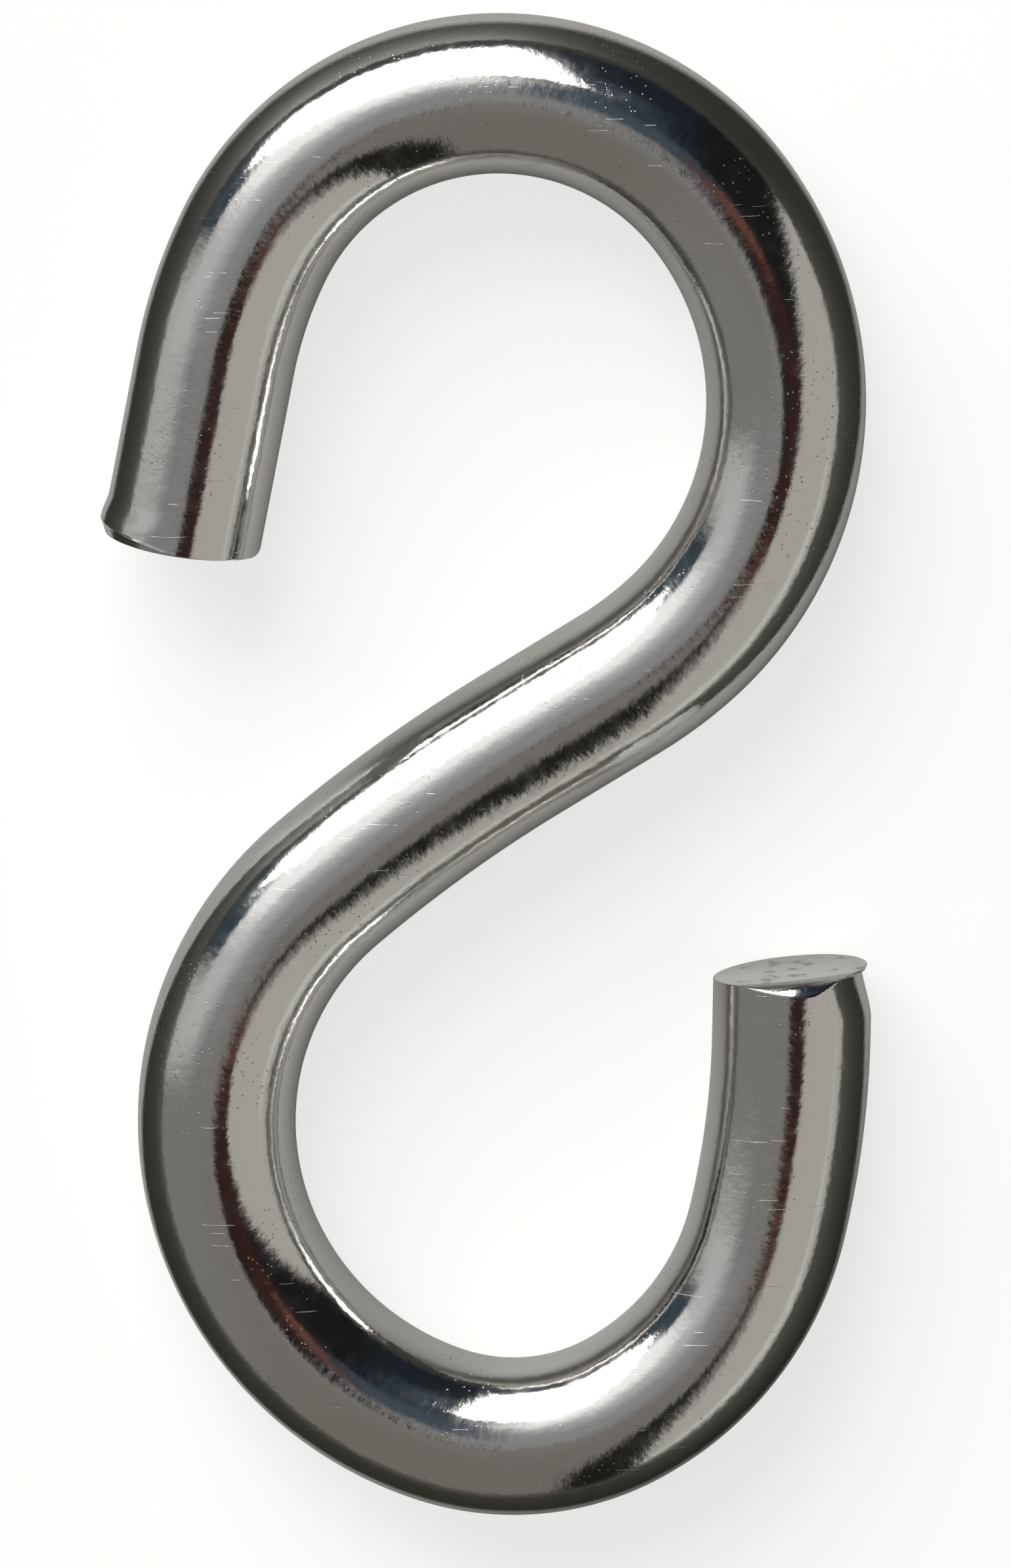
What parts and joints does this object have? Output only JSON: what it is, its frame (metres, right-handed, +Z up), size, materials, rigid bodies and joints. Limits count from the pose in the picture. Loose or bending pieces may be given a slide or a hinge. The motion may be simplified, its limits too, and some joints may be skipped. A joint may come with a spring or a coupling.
{
  "type": "s hook",
  "caption": "Open S hook bent from one length of round steel wire, with a larger upper hook turned over to the left, a lower hook turned up to the right, and sheared ends.",
  "frame": {"origin": "middle of the hook's length and width, on the surface it lies on", "axes": "+Y along the hook from its lower hook to its upper hook, +X to the side of the lower arm, +Z up out of the flat of the S"},
  "size_m": [0.0243, 0.0478, 0.005],
  "materials": {
    "bright_metal": "polished"
  },
  "bodies": {
    "root": {"hook": "bright_metal"}
  },
  "joints": []
}
